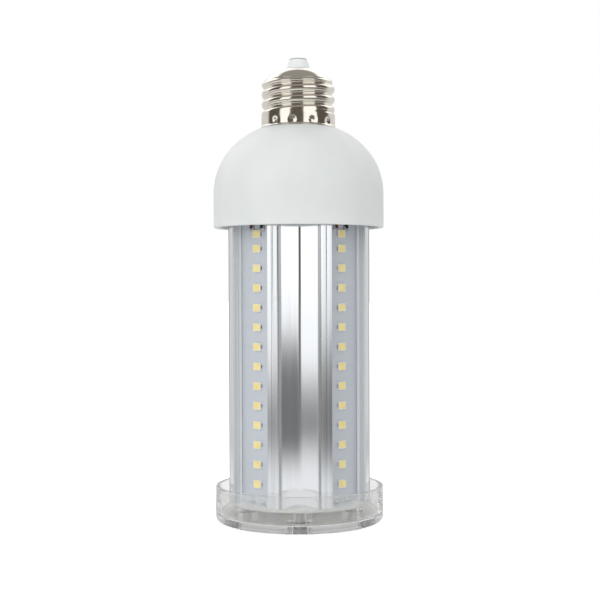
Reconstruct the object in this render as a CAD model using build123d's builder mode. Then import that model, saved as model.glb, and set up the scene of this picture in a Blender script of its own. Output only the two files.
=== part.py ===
from build123d import *
import os
from math import asin, acos, cos, degrees, hypot, radians, sin, sqrt, tan

os.makedirs("parts", exist_ok=True)

# Corn cob LED bulb, standing on its clear cap. Millimetres, z = 0 on the table, +Z to the screw base.

# Clearances
fit_gap = 0.1  # pieces that slide or drop into each other
screw_gap = 0.3  # around a screw in its hole
head_gap = 0.4  # around a screw head in its recess

# Clear cap
cap_side_gap = 2.8  # column to the inside of the cap wall
cap_wall = 1.5
cap_height = 12.7
cap_floor = 2.5
cap_corner = 1.8  # outer bottom round
cap_inner_corner = 0.8
cap_rim_bevel = 0.3
boss_wall = 1.0  # around a screw head
boss_height = 4.1  # floor to the end board

# Screws that hold the cap and the top plate to the column
port_count = 4
screw_radius = 1.4
screw_head_radius = 2.6
screw_head_height = 1.9
screw_head_bevel = 0.6
cap_screw_length = 14.0  # under the head
plate_screw_length = 9.0
head_recess = 2.3  # cap screw heads stay above the table

# Aluminium column
column_radius = 25.7
column_length = 100.2
channel_depth = 6.9  # strip board's back below the column's rim
channel_web = 2.0  # wall between a strip board and the bore
port_wall = 0.9  # wall between a screw port and the bore
flute_half_width = 6.2
flute_slope = 26.5  # flute face against the tangent, degrees
flute_round = 1.8
groove_width = 0.8  # dark line at each flute edge
groove_depth = 0.6
score_offset = 9.4  # fine line on the shoulder, from the flute's middle
score_radius = 0.22
channel_lip = 0.5  # aluminium over each edge of the board
lip_edge = 0.4
lip_width = 0.9  # sloping top of the lip, out to the channel's wall
lip_slope = 25.0  # against the board, degrees
channel_edge_round = 0.5

# LED strips
strip_count = 4
strip_board_width = 16.8
strip_board_thickness = 1.5
strip_board_top_gap = 0.2  # board end below the column's end
led_width = 3.5
led_height = 2.8
led_thickness = 0.8
led_frame = 0.2  # white edge round the phosphor
phosphor_depth = 0.45
phosphor_sink = 0.03
strip_led_count = 14
led_pitch = 6.82
top_led_pitch = 5.1  # the highest LED sits closer
lowest_led = 7.1  # above the column's foot
lead_offset = 2.6  # strip leads from the strip's middle line
lead_radius = 0.55
solder_radius = 0.8
solder_length = 1.4
solder_end = 3.4  # solder top below the column's top
foot_solder_radius = 0.9
foot_solder_width = 2.2

# End board under the column
end_board_inset = 0.2  # board edge inside the column's rim
end_board_thickness = 1.2
end_ring_inset = 4.9  # outer LED ring from the board's edge
end_ring_count = 8
end_ring_step = 10.1  # inner LED ring from the outer one
end_inner_count = 6

# Driver housing
housing_side_gap = 2.7  # column to the inside of the housing
housing_wall = 2.0
column_entry = 3.5  # column end inside the housing
housing_skirt = 11.9  # straight part above the rim
dome_side_radius = 25.4  # arc that leaves the skirt
dome_side_turn = 33.0  # how far that arc goes, degrees
dome_crown_radius = 27.3  # arc on to the shell's foot
inside_turn = 15.0  # the dome is cored out in plain tapers, one each this far, degrees
housing_rim_bevel = 0.4
snap_bead = 0.5  # bead that holds the plate from below
snap_bead_height = 0.8
shelf_width = 1.4  # shelf that the plate is pushed against
shelf_height = 1.5

# Plate on the column's top
plate_gap = 0.2  # to the inside of the housing
plate_thickness = 2.0
window_width = 9.0  # strip leads pass here
window_depth = 4.2
post_count = 4
post_inset = 5.2  # post axis from the plate's edge
post_angle = 20.0
post_radius = 2.0
post_height = 4.0
board_screw_radius = 0.9
board_screw_head = 1.7
board_screw_head_height = 1.2
board_screw_depth = 3.2

# Driver board and its components: an inset is from the board's edge, a shift or place from the lamp axis
driver_board_gap = 2.6  # to the inside of the housing
driver_board_thickness = 1.6
core_size = (16.0, 6.0, 13.0)
core_window = (10.0, 8.0)
core_place = (-6.0, 6.5)
coil_radius = 5.6
bulk_radius = 5.0
bulk_height = 15.5
bulk_inset = 12.3
bulk_shift = -8.5
output_radius = 4.0
output_height = 12.0
output_inset = 10.8
output_shift = -9.0
film_size = (13.0, 6.0, 11.0)
film_inset = 9.3
film_shift = -1.5
choke_radius = 4.5
choke_height = 10.0
choke_waist = 1.2
choke_flange = 1.4
choke_inset = 10.8
choke_shift = 10.0
bridge_size = (8.2, 6.4, 3.2)
bridge_inset = 6.8
bridge_shift = 3.5
fuse_radius = 1.8
fuse_length = 9.0
fuse_place = (-17.0, 4.0)
chip_size = (4.9, 3.9, 1.6)
chip_place = (2.5, -7.0)
can_bevel = 0.7
moulded_bevel = 0.5

# Screw base, medium size with seven turns to the inch
shell_radius = 13.2
shell_wall = 0.45
skirt_height = 5.0
thread_pitch = 25.4 / 7
thread_crest = 13.1
thread_root = 12.1
thread_taper = 1.04  # the skirt runs into the thread over this height
thread_turns = 4.2
crest_half_width = 0.55
bead_half_width = 1.5  # where the rolled bead meets the shell
thread_start = 2.2  # first crest above the shell's foot, hidden in the skirt
crown_foot = 16.2  # domed top above the shell's foot
crown_height = 4.4
crown_bulge = 0.85
nose_radius = 4.4
nose_tip_radius = 3.2
nose_height = 3.2
contact_radius = 3.1
contact_height = 0.5
contact_bevel = 0.25
shank_radius = 1.4
shank_length = 13.5
shoulder_lip = 0.1  # dome shoulder outside the shell's foot
neck_wall = 2.2
neck_height = 11.2
base_lead_radius = 0.6
live_start = (6.0, -2.0)
neutral_start = (8.2, 3.0)
neutral_run = 8.4  # neutral lead from the lamp axis inside the neck
lead_rise = 10.8  # base leads stand straight up this far from the driver board

# Heights and places that follow from the stack
end_board_foot = cap_floor + boss_height
column_foot = end_board_foot + end_board_thickness
column_top = column_foot + column_length
screw_hole = screw_radius + fit_gap
channel_seat = column_radius - channel_depth
bore_radius = channel_seat - channel_web
port_radius = bore_radius + port_wall + screw_hole  # screw axis from the lamp axis
board_face = channel_seat + strip_board_thickness
plate_top = column_top + plate_thickness
driver_board_foot = plate_top + post_height
driver_board_top = driver_board_foot + driver_board_thickness
housing_rim = column_top - column_entry
dome_foot = housing_rim + housing_skirt
housing_inner = column_radius + housing_side_gap
housing_radius = housing_inner + housing_wall
plate_radius = housing_inner - plate_gap
post_ring = plate_radius - post_inset
driver_board_radius = housing_inner - driver_board_gap
bulk_place = (driver_board_radius - bulk_inset, bulk_shift)
output_place = (output_inset - driver_board_radius, output_shift)
film_place = (film_shift, film_inset - driver_board_radius)
choke_place = (driver_board_radius - choke_inset, choke_shift)
bridge_place = (bridge_shift, driver_board_radius - bridge_inset)
crown_step = dome_crown_radius - dome_side_radius
side_centre = (housing_radius - dome_side_radius, dome_foot)
crown_centre = (
    side_centre[0] - crown_step * cos(radians(dome_side_turn)),
    side_centre[1] - crown_step * sin(radians(dome_side_turn)),
)
shoulder_radius = shell_radius + shoulder_lip
shoulder_turn = degrees(acos((shoulder_radius - crown_centre[0]) / dome_crown_radius))
shell_foot = crown_centre[1] + dome_crown_radius * sin(radians(shoulder_turn))
shell_bore = thread_root - shell_wall
neck_radius = shell_bore - fit_gap
neck_bore = neck_radius - neck_wall
neck_top = shell_foot + neck_height
crown_top = shell_foot + crown_foot + crown_height
contact_seat = crown_top + nose_height
shank_end = contact_seat - shank_length
led_heights = [column_foot + lowest_led + led_pitch * i for i in range(strip_led_count - 1)]
led_heights.append(led_heights[-1] + top_led_pitch)


def strip_plane(index, distance):
    # Face of strip `index`: local x along the tangent, local y up, at this distance from the lamp axis.
    angle = radians(360 / strip_count * (index + 0.5))
    outward = Vector(cos(angle), sin(angle), 0)
    return Plane(origin=outward * distance, x_dir=(-sin(angle), cos(angle), 0), z_dir=outward)


# Clear cap: a cup with four screw bosses that carry the end board
cap_inner = column_radius + cap_side_gap
cap_outer = cap_inner + cap_wall
with BuildPart() as clear_cap:
    with BuildSketch(Plane.XZ) as cap_section:
        with BuildLine():
            Polyline(
                (0, 0), (cap_outer, 0), (cap_outer, cap_height), (cap_inner, cap_height),
                (cap_inner, cap_floor), (0, cap_floor), close=True,
            )
        make_face()
        chamfer(cap_section.vertices().group_by(Axis.Y)[-1], cap_rim_bevel)
        fillet(cap_section.vertices().group_by(Axis.Y)[0].sort_by(Axis.X)[-1], cap_corner)
        floor_ends = cap_section.vertices().filter_by(lambda v: abs(v.Y - cap_floor) < fit_gap)
        chamfer(floor_ends.sort_by(Axis.X)[-1], cap_inner_corner)
    revolve(axis=Axis.Z)
    with BuildSketch(Plane.XY.offset(cap_floor)):
        with PolarLocations(port_radius, port_count):
            Circle(screw_head_radius + head_gap + boss_wall)
    extrude(amount=boss_height)
    with Locations(Plane(origin=(0, 0, 0), z_dir=(0, 0, -1))):
        with PolarLocations(port_radius, port_count):
            CounterBoreHole(screw_radius + screw_gap, screw_head_radius + head_gap, head_recess)
clear_cap.part.label = "clear_cap"
export_step(clear_cap.part, "parts/clear_cap.step")

# End board: white disc that closes the column and faces the table
end_board_radius = column_radius - end_board_inset
with BuildPart() as end_board:
    with BuildSketch(Plane.XY.offset(end_board_foot)):
        Circle(end_board_radius)
        with PolarLocations(port_radius, port_count):
            Circle(screw_radius + screw_gap, mode=Mode.SUBTRACT)
    extrude(amount=end_board_thickness)
end_board.part.label = "end_board"
export_step(end_board.part, "parts/end_board.step")

# LEDs of the end board, two rings that look down
end_face = Plane(origin=(0, 0, end_board_foot), x_dir=(1, 0, 0), z_dir=(0, 0, -1))
ring_turn = 180 / end_ring_count
end_ring_radius = end_board_radius - end_ring_inset
end_inner_radius = end_ring_radius - end_ring_step
pocket_width = led_width - 2 * led_frame
pocket_height = led_height - 2 * led_frame
with BuildPart() as end_led_packages:
    with BuildSketch(end_face):
        with PolarLocations(end_ring_radius, end_ring_count, start_angle=ring_turn):
            Rectangle(led_height, led_width)
        with PolarLocations(end_inner_radius, end_inner_count):
            Rectangle(led_height, led_width)
    extrude(amount=led_thickness)
    with BuildSketch(end_face.offset(led_thickness)):
        with PolarLocations(end_ring_radius, end_ring_count, start_angle=ring_turn):
            Rectangle(pocket_height, pocket_width)
        with PolarLocations(end_inner_radius, end_inner_count):
            Rectangle(pocket_height, pocket_width)
    extrude(amount=-phosphor_depth, mode=Mode.SUBTRACT)
end_led_packages.part.label = "end_led_packages"
export_step(end_led_packages.part, "parts/end_led_packages.step")

with BuildPart() as end_led_phosphor:
    with BuildSketch(end_face.offset(led_thickness - phosphor_depth)):
        with PolarLocations(end_ring_radius, end_ring_count, start_angle=ring_turn):
            Rectangle(pocket_height, pocket_width)
        with PolarLocations(end_inner_radius, end_inner_count):
            Rectangle(pocket_height, pocket_width)
    extrude(amount=phosphor_depth - phosphor_sink)
end_led_phosphor.part.label = "end_led_phosphor"
export_step(end_led_phosphor.part, "parts/end_led_phosphor.step")

# Column: one extrusion with V flutes, slide-in channels for the strips, screw ports and a bore
flute_lip = sqrt(column_radius**2 - flute_half_width**2)
flute_valley = flute_lip - flute_half_width * tan(radians(flute_slope))
flute_reach = 2 * flute_half_width
slot_width = strip_board_width + 2 * fit_gap
lip_tip = slot_width / 2 - channel_lip
lip_top = lip_edge + lip_width * tan(radians(lip_slope))
channel_side = lip_tip + lip_width
groove_floor = sqrt(column_radius**2 - (flute_half_width + groove_width) ** 2) - groove_depth
score_turn = degrees(asin(score_offset / column_radius))
half_step = 180 / strip_count
with BuildPart() as heat_sink:
    with BuildSketch(Plane.XY.offset(column_foot)) as column_section:
        Circle(column_radius)
        with PolarLocations(board_face + fit_gap, strip_count, start_angle=half_step):
            Polygon(
                (0, -lip_tip), (lip_edge, -lip_tip), (lip_top, -channel_side), (column_radius, -channel_side),
                (column_radius, channel_side), (lip_top, channel_side), (lip_edge, lip_tip), (0, lip_tip),
                mode=Mode.SUBTRACT,
            )
        rim_corners = column_section.vertices().filter_by(
            lambda v: hypot(v.X, v.Y) > column_radius - fit_gap and abs(v.Y) > fit_gap
        )
        fillet(rim_corners, channel_edge_round)
        with PolarLocations(flute_valley, strip_count):
            Polygon(
                (0, 0), (flute_reach * tan(radians(flute_slope)), -flute_reach),
                (flute_reach * tan(radians(flute_slope)), flute_reach), mode=Mode.SUBTRACT,
            )
        valleys = column_section.vertices().filter_by(
            lambda v: abs(hypot(v.X, v.Y) - flute_valley) < fit_gap / 10
        )
        fillet(valleys, flute_round)
        for side in (-1, 1):
            with PolarLocations(0, strip_count):
                with Locations((groove_floor, side * (flute_half_width + groove_width / 2))):
                    Rectangle(
                        column_radius, groove_width, align=(Align.MIN, Align.CENTER), mode=Mode.SUBTRACT
                    )
            with PolarLocations(column_radius, strip_count, start_angle=side * score_turn):
                Circle(score_radius, mode=Mode.SUBTRACT)
        with PolarLocations(channel_seat, strip_count, start_angle=half_step):
            Rectangle(
                strip_board_thickness + fit_gap, slot_width,
                align=(Align.MIN, Align.CENTER), mode=Mode.SUBTRACT,
            )
        Circle(bore_radius, mode=Mode.SUBTRACT)
        with PolarLocations(port_radius, port_count):
            Circle(screw_hole, mode=Mode.SUBTRACT)
    extrude(amount=column_length)
heat_sink.part.label = "heat_sink"
export_step(heat_sink.part, "parts/heat_sink.step")

# LED strips: board, white packages and yellow phosphor, one set in each channel
strip_board_length = column_length - strip_board_top_gap
for index in range(strip_count):
    with BuildPart() as led_board:
        with BuildSketch(strip_plane(index, channel_seat)):
            with Locations((0, column_foot)):
                Rectangle(strip_board_width, strip_board_length, align=(Align.CENTER, Align.MIN))
        extrude(amount=strip_board_thickness)
    led_board.part.label = f"led_board_{index + 1}"
    export_step(led_board.part, f"parts/led_board_{index + 1}.step")

    with BuildPart() as led_packages:
        with BuildSketch(strip_plane(index, board_face)):
            with Locations([(0, z) for z in led_heights]):
                Rectangle(led_width, led_height)
        extrude(amount=led_thickness)
        with BuildSketch(strip_plane(index, board_face + led_thickness)):
            with Locations([(0, z) for z in led_heights]):
                Rectangle(pocket_width, pocket_height)
        extrude(amount=-phosphor_depth, mode=Mode.SUBTRACT)
    led_packages.part.label = f"led_packages_{index + 1}"
    export_step(led_packages.part, f"parts/led_packages_{index + 1}.step")

    with BuildPart() as led_phosphor:
        with BuildSketch(strip_plane(index, board_face + led_thickness - phosphor_depth)):
            with Locations([(0, z) for z in led_heights]):
                Rectangle(pocket_width, pocket_height)
        extrude(amount=phosphor_depth - phosphor_sink)
    led_phosphor.part.label = f"led_phosphor_{index + 1}"
    export_step(led_phosphor.part, f"parts/led_phosphor_{index + 1}.step")

# Solder under the lead ends at the top of each strip
solder_top = column_top - solder_end
with BuildPart() as strip_solder_top:
    for index in range(strip_count):
        for side in (-1, 1):
            foot = strip_plane(index, board_face)
            pad = Plane(
                origin=foot.from_local_coords((side * lead_offset, solder_top, 0)),
                x_dir=foot.x_dir, z_dir=(0, 0, -1),
            )
            with BuildSketch(pad):
                Circle(solder_radius)
                Rectangle(
                    2 * solder_radius, solder_radius,
                    align=(Align.CENTER, Align.MAX if pad.y_dir.dot(foot.z_dir) > 0 else Align.MIN),
                    mode=Mode.SUBTRACT,
                )
            extrude(amount=solder_length)
strip_solder_top.part.label = "strip_solder_top"
export_step(strip_solder_top.part, "parts/strip_solder_top.step")

# Solder fillets between each strip's foot and the end board
with BuildPart() as strip_solder_foot:
    for index in range(strip_count):
        for side in (-1, 1):
            foot = strip_plane(index, board_face)
            corner = Plane(
                origin=foot.from_local_coords((side * lead_offset, column_foot, 0)),
                x_dir=foot.z_dir, z_dir=-foot.x_dir,
            )
            with BuildSketch(corner):
                with BuildLine():
                    Polyline((0, foot_solder_radius), (0, 0), (foot_solder_radius, 0))
                    RadiusArc((foot_solder_radius, 0), (0, foot_solder_radius), foot_solder_radius)
                make_face()
            extrude(amount=foot_solder_width / 2, both=True)
strip_solder_foot.part.label = "strip_solder_foot"
export_step(strip_solder_foot.part, "parts/strip_solder_foot.step")

# Strip leads: one pair for each strip, straight up through the plate to the driver board
for colour, side in (("black", 1), ("red", -1)):
    with BuildPart() as led_leads:
        for index in range(strip_count):
            start = strip_plane(index, board_face + lead_radius).from_local_coords(
                (side * lead_offset, solder_top, 0)
            )
            with BuildSketch(Plane(origin=start)):
                Circle(lead_radius)
            extrude(amount=driver_board_foot - solder_top)
    led_leads.part.label = f"led_leads_{colour}"
    export_step(led_leads.part, f"parts/led_leads_{colour}.step")

# Plate: closes the column, snaps into the housing and carries the driver board on posts
with BuildPart() as housing_plate:
    with BuildSketch(Plane.XY.offset(column_top)):
        Circle(plate_radius)
        with PolarLocations(port_radius, port_count):
            Circle(screw_radius + screw_gap, mode=Mode.SUBTRACT)
        with PolarLocations(board_face - fit_gap, strip_count, start_angle=half_step):
            Rectangle(window_depth, window_width, align=(Align.MIN, Align.CENTER), mode=Mode.SUBTRACT)
    extrude(amount=plate_thickness)
    with BuildSketch(Plane.XY.offset(plate_top)):
        with PolarLocations(post_ring, post_count, start_angle=post_angle):
            Circle(post_radius)
    extrude(amount=post_height)
    with Locations(Plane.XY.offset(driver_board_foot)):
        with PolarLocations(post_ring, post_count, start_angle=post_angle):
            Hole(board_screw_radius + fit_gap, depth=board_screw_depth + fit_gap)
housing_plate.part.label = "housing_plate"
export_step(housing_plate.part, "parts/housing_plate.step")

# Screws: pan heads on straight shanks, in groups of four
with BuildPart() as cap_screws:
    with BuildSketch(Plane.XY.offset(head_recess - screw_head_height)):
        with PolarLocations(port_radius, port_count):
            Circle(screw_head_radius)
    extrude(amount=screw_head_height)
    chamfer(cap_screws.faces().group_by(Axis.Z)[0].edges(), screw_head_bevel)
    with BuildSketch(Plane.XY.offset(head_recess)):
        with PolarLocations(port_radius, port_count):
            Circle(screw_radius)
    extrude(amount=cap_screw_length)
cap_screws.part.label = "cap_screws"
export_step(cap_screws.part, "parts/cap_screws.step")

with BuildPart() as plate_screws:
    with BuildSketch(Plane.XY.offset(plate_top)):
        with PolarLocations(port_radius, port_count):
            Circle(screw_head_radius)
    extrude(amount=screw_head_height)
    chamfer(plate_screws.faces().group_by(Axis.Z)[-1].edges(), screw_head_bevel)
    with BuildSketch(Plane.XY.offset(plate_top)):
        with PolarLocations(port_radius, port_count):
            Circle(screw_radius)
    extrude(amount=-plate_screw_length)
plate_screws.part.label = "plate_screws"
export_step(plate_screws.part, "parts/plate_screws.step")

with BuildPart() as board_screws:
    with BuildSketch(Plane.XY.offset(driver_board_top)):
        with PolarLocations(post_ring, post_count, start_angle=post_angle):
            Circle(board_screw_head)
    extrude(amount=board_screw_head_height)
    with BuildSketch(Plane.XY.offset(driver_board_top)):
        with PolarLocations(post_ring, post_count, start_angle=post_angle):
            Circle(board_screw_radius)
    extrude(amount=-(driver_board_thickness + board_screw_depth))
board_screws.part.label = "board_screws"
export_step(board_screws.part, "parts/board_screws.step")

# Driver board and what stands on it
board_plane = Plane.XY.offset(driver_board_top)
with BuildPart() as driver_board:
    with BuildSketch(Plane.XY.offset(driver_board_foot)):
        Circle(driver_board_radius)
        with PolarLocations(post_ring, post_count, start_angle=post_angle):
            Circle(board_screw_radius + fit_gap, mode=Mode.SUBTRACT)
    extrude(amount=driver_board_thickness)
driver_board.part.label = "driver_board"
export_step(driver_board.part, "parts/driver_board.step")

# Transformer: a ferrite frame with the coil on its middle leg
core_width, core_depth, core_tall = core_size
window_span, window_tall = core_window
leg_width = (core_width - window_span) / 2
with BuildPart() as transformer_core:
    with BuildSketch(Plane.XZ.offset(core_depth / 2 - core_place[1])):
        with Locations((core_place[0], driver_board_top + core_tall / 2)):
            Rectangle(core_width, core_tall)
            Rectangle(window_span, window_tall, mode=Mode.SUBTRACT)
            Rectangle(leg_width, core_tall)
    extrude(amount=-core_depth)
transformer_core.part.label = "transformer_core"
export_step(transformer_core.part, "parts/transformer_core.step")

coil_foot = driver_board_top + (core_tall - window_tall) / 2
with BuildPart() as transformer_coil:
    with BuildSketch(Plane.XY.offset(coil_foot)):
        with Locations(core_place):
            SlotOverall(2 * coil_radius + leg_width, window_span - 2 * fit_gap, rotation=90)
            Rectangle(leg_width + 2 * fit_gap, core_depth + 2 * fit_gap, mode=Mode.SUBTRACT)
    extrude(amount=window_tall)
transformer_coil.part.label = "transformer_coil"
export_step(transformer_coil.part, "parts/transformer_coil.step")

for node, place, radius, height in (
    ("bulk_capacitor", bulk_place, bulk_radius, bulk_height),
    ("output_capacitor", output_place, output_radius, output_height),
):
    with BuildPart() as capacitor:
        with BuildSketch(board_plane):
            with Locations(place):
                Circle(radius)
        extrude(amount=height)
        chamfer(capacitor.faces().sort_by(Axis.Z)[-1].edges(), can_bevel)
    capacitor.part.label = node
    export_step(capacitor.part, f"parts/{node}.step")

for node, place, size in (
    ("film_capacitor", film_place, film_size),
    ("bridge_rectifier", bridge_place, bridge_size),
    ("driver_chip", chip_place, chip_size),
):
    with BuildPart() as moulded:
        with BuildSketch(board_plane):
            with Locations(place):
                Rectangle(size[0], size[1])
        extrude(amount=size[2])
        chamfer(moulded.faces().sort_by(Axis.Z)[-1].edges(), moulded_bevel)
    moulded.part.label = node
    export_step(moulded.part, f"parts/{node}.step")

with BuildPart() as line_choke:
    with BuildSketch(board_plane):
        with Locations(choke_place):
            Circle(choke_radius)
    extrude(amount=choke_height)
    with BuildSketch(board_plane.offset(choke_flange)):
        with Locations(choke_place):
            Circle(choke_radius)
            Circle(choke_radius - choke_waist, mode=Mode.SUBTRACT)
    extrude(amount=choke_height - 2 * choke_flange, mode=Mode.SUBTRACT)
line_choke.part.label = "line_choke"
export_step(line_choke.part, "parts/line_choke.step")

with BuildPart() as fuse_resistor:
    with BuildSketch(Plane.XZ.offset(fuse_length / 2 - fuse_place[1])):
        with Locations((fuse_place[0], driver_board_top + fuse_radius)):
            Circle(fuse_radius)
    extrude(amount=-fuse_length)
    chamfer(fuse_resistor.edges().filter_by(GeomType.CIRCLE), can_bevel)
fuse_resistor.part.label = "fuse_resistor"
export_step(fuse_resistor.part, "parts/fuse_resistor.step")

# Driver housing: skirt, two-arc dome and the neck inside the screw shell
crown_inner = dome_crown_radius - housing_wall
neck_turn = degrees(acos((neck_bore - crown_centre[0]) / crown_inner))
neck_foot = crown_centre[1] + crown_inner * sin(radians(neck_turn))
dome_inside = [
    (
        crown_centre[0] + crown_inner * cos(radians(turn)),
        crown_centre[1] + crown_inner * sin(radians(turn)),
    )
    for turn in (neck_turn - inside_turn, neck_turn - 2 * inside_turn, dome_side_turn)
]
shelf_inner = housing_inner - shelf_width
bead_top = column_top - fit_gap
with BuildPart() as driver_housing:
    with BuildSketch(Plane.XZ) as housing_section:
        with BuildLine():
            CenterArc(side_centre, dome_side_radius, 0, dome_side_turn)
            CenterArc(crown_centre, dome_crown_radius, dome_side_turn, shoulder_turn - dome_side_turn)
            Polyline(
                (shoulder_radius, shell_foot), (neck_radius, shell_foot), (neck_radius, neck_top),
                (neck_bore, neck_top), (neck_bore, neck_foot),
            )
            Polyline(
                (neck_bore, neck_foot), *dome_inside, (housing_inner, dome_foot),
                (housing_inner, plate_top + fit_gap + shelf_height),
                (shelf_inner, plate_top + fit_gap), (housing_inner, plate_top + fit_gap),
                (housing_inner, bead_top), (housing_inner - snap_bead, bead_top - snap_bead_height / 2),
                (housing_inner, bead_top - snap_bead_height), (housing_inner, housing_rim),
                (housing_radius, housing_rim), (housing_radius, dome_foot),
            )
        make_face()
        chamfer(housing_section.vertices().group_by(Axis.Y)[0], housing_rim_bevel)
    revolve(axis=Axis.Z)
    with Locations((neck_bore + neck_wall / 2, 0, neck_top)):
        Box(
            2 * neck_wall, 2 * (base_lead_radius + fit_gap), 2 * (base_lead_radius + fit_gap),
            align=(Align.CENTER, Align.CENTER, Align.MAX), mode=Mode.SUBTRACT,
        )
driver_housing.part.label = "driver_housing"
export_step(driver_housing.part, "parts/driver_housing.step")

# Screw shell: skirt, rolled knuckle thread and domed top, as one thin shell
first_crest = shell_foot + thread_start
crown_base = shell_foot + crown_foot
nose_hole = nose_radius + fit_gap
crown_wall = shell_wall + crown_height * (thread_root - shell_bore) / (thread_root - nose_hole)
bead_foot = thread_root - shell_wall / 2
with BuildPart() as screw_shell:
    with BuildSketch(Plane.XZ):
        with BuildLine():
            Polyline(
                (0, shell_foot), (shell_radius, shell_foot),
                (shell_radius, shell_foot + skirt_height - thread_taper),
                (thread_root, shell_foot + skirt_height), (thread_root, crown_base),
            )
            SagittaArc((thread_root, crown_base), (nose_hole, crown_top), -crown_bulge)
            Polyline((nose_hole, crown_top), (0, crown_top), (0, shell_foot))
        make_face()
    revolve(axis=Axis.Z)
    with BuildLine() as thread_path:
        Helix(thread_pitch, thread_pitch * thread_turns, thread_root, center=(0, 0, first_crest))
    with BuildSketch(Plane.XZ):
        with BuildLine():
            Polyline(
                (bead_foot, first_crest - bead_half_width), (thread_crest, first_crest - crest_half_width),
                (thread_crest, first_crest + crest_half_width), (bead_foot, first_crest + bead_half_width),
                close=True,
            )
        make_face()
    sweep(path=thread_path.wires()[0], is_frenet=True)
    with BuildSketch(Plane.XZ):
        with BuildLine():
            Polyline(
                (thread_root, crown_base), (shell_radius, crown_base), (shell_radius, crown_top + fit_gap),
                (nose_hole, crown_top + fit_gap), (nose_hole, crown_top),
            )
            SagittaArc((nose_hole, crown_top), (thread_root, crown_base), crown_bulge)
        make_face()
    revolve(axis=Axis.Z, mode=Mode.SUBTRACT)
    with BuildSketch(Plane.XZ):
        with BuildLine():
            Polyline(
                (0, shell_foot), (shell_bore, shell_foot), (shell_bore, crown_base - shell_wall),
                (nose_hole, crown_top - crown_wall), (nose_hole, crown_top), (0, crown_top), close=True,
            )
        make_face()
    revolve(axis=Axis.Z, mode=Mode.SUBTRACT)
screw_shell.part.label = "screw_shell"
export_step(screw_shell.part, "parts/screw_shell.step")

# White insulator: fills the shell above the neck and stands out of it as the nose
with BuildPart() as base_insulator:
    with BuildSketch(Plane.XZ):
        with BuildLine():
            Polyline(
                (shank_radius + fit_gap, neck_top), (neck_radius, neck_top),
                (neck_radius, crown_base - shell_wall - fit_gap),
                (nose_radius, crown_top - crown_wall - fit_gap), (nose_radius, crown_top),
                (nose_tip_radius, contact_seat), (shank_radius + fit_gap, contact_seat), close=True,
            )
        make_face()
    revolve(axis=Axis.Z)
base_insulator.part.label = "base_insulator"
export_step(base_insulator.part, "parts/base_insulator.step")

# Centre contact: a rivet through the insulator
with BuildPart() as centre_contact:
    with BuildSketch(Plane.XY.offset(contact_seat)):
        Circle(contact_radius)
    extrude(amount=contact_height)
    chamfer(centre_contact.faces().sort_by(Axis.Z)[-1].edges(), contact_bevel)
    with BuildSketch(Plane.XY.offset(contact_seat)):
        Circle(shank_radius)
    extrude(amount=-shank_length)
centre_contact.part.label = "centre_contact"
export_step(centre_contact.part, "parts/centre_contact.step")

# Leads from the driver board up to the contact and to the shell
neutral_height = neck_top - base_lead_radius - fit_gap
lead_bend = 2 * base_lead_radius
leads = {
    "live_lead": [
        (*live_start, driver_board_top), (*live_start, driver_board_top + lead_rise),
        (0, 0, neck_foot), (0, 0, shank_end),
    ],
    "neutral_lead": [
        (*neutral_start, driver_board_top), (*neutral_start, driver_board_top + lead_rise),
        (neutral_run, 0, neck_foot), (neutral_run, 0, neutral_height), (shell_bore, 0, neutral_height),
    ],
}
for node, route in leads.items():
    with BuildPart() as base_lead:
        with BuildLine() as lead_path:
            FilletPolyline(*route, radius=lead_bend)
        with BuildSketch(Plane(origin=route[0])):
            Circle(base_lead_radius)
        sweep(path=lead_path.wires()[0])
    base_lead.part.label = node
    export_step(base_lead.part, f"parts/{node}.step")
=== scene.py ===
from math import acos, asin, cos, degrees, pi, radians, sin, sqrt, tan

import bmesh
import bpy
import numpy as np
from mathutils import Matrix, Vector
from mathutils.geometry import tessellate_polygon


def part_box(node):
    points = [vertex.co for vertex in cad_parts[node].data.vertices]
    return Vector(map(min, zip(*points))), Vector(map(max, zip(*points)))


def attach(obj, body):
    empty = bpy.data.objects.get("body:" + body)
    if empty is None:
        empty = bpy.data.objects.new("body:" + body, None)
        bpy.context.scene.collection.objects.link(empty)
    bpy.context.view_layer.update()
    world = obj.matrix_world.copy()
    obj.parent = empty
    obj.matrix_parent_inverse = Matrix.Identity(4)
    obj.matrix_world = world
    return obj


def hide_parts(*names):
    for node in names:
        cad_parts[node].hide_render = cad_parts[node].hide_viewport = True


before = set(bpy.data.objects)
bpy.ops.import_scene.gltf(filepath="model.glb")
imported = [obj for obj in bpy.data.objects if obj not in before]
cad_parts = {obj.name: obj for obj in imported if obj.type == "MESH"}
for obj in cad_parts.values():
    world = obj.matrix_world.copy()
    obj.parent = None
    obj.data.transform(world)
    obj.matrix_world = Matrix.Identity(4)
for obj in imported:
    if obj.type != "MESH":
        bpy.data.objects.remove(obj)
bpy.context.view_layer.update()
mm = 0.001  # shapes are worked out in millimetres
print("frame loaded,", len(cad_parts), "nodes")


# shapes

weld = {"merge": 0.0005, "sliver": 0.0002}  # points nearer than this are joined, shorter edges are dropped
cornerShare = {"most": 0.35, "spare": 1.25}  # the most of a side that a cut takes; its spare point's distance


def nodeBox(node):  # lowest and highest corner of a CAD node, in millimetres
    low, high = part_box(node)
    return np.array(low) / mm, np.array(high) / mm


def arc(centre, radius, start, end, count):  # centre + radius * (cos t, sin t), t in degrees
    turn = np.radians(np.linspace(start, end, count))
    return np.column_stack([centre[0] + radius * np.cos(turn), centre[1] + radius * np.sin(turn)])


def circle(radius, count, centre=(0, 0)):  # an arc all the way round, without its last point
    return arc(centre, radius, 0, 360, count + 1)[:-1]


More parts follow.
